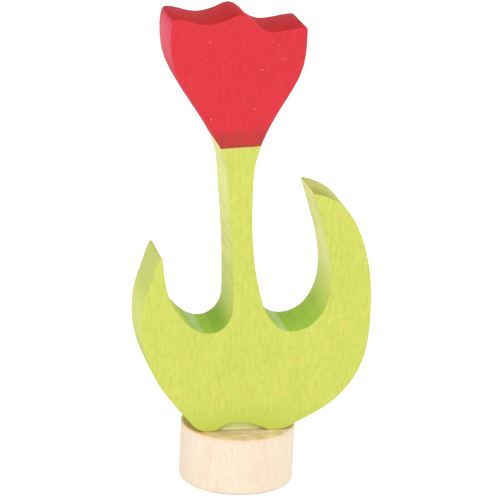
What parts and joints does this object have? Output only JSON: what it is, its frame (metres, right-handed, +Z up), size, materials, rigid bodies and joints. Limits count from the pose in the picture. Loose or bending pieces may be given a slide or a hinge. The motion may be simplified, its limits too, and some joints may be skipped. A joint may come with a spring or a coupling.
{
  "type": "wooden tulip ornament",
  "caption": "Flat sawn tulip with two leaves, stained red and green, standing on a round plug that sits in the hole of a festive ring or stand.",
  "frame": {"origin": "on the plug's axis, at the flat face that it stands on", "axes": "+Z up along the plug's axis, +Y from the front face of the board to its back face, +X along the board towards the taller leaf"},
  "size_m": [0.0402, 0.02, 0.0841],
  "materials": {
    "stained_lime": "thin translucent stain, green on stem and leaves and red on the flower, matt",
    "beech": "turned and sanded, bare",
    "dowel_wood": "bare, grooved",
    "clear_glue": "hardened clear glue, glossy"
  },
  "bodies": {
    "root": {"tulip_board": "stained_lime", "plug": "beech", "dowel": "dowel_wood", "glue_bead": "clear_glue"}
  },
  "joints": []
}
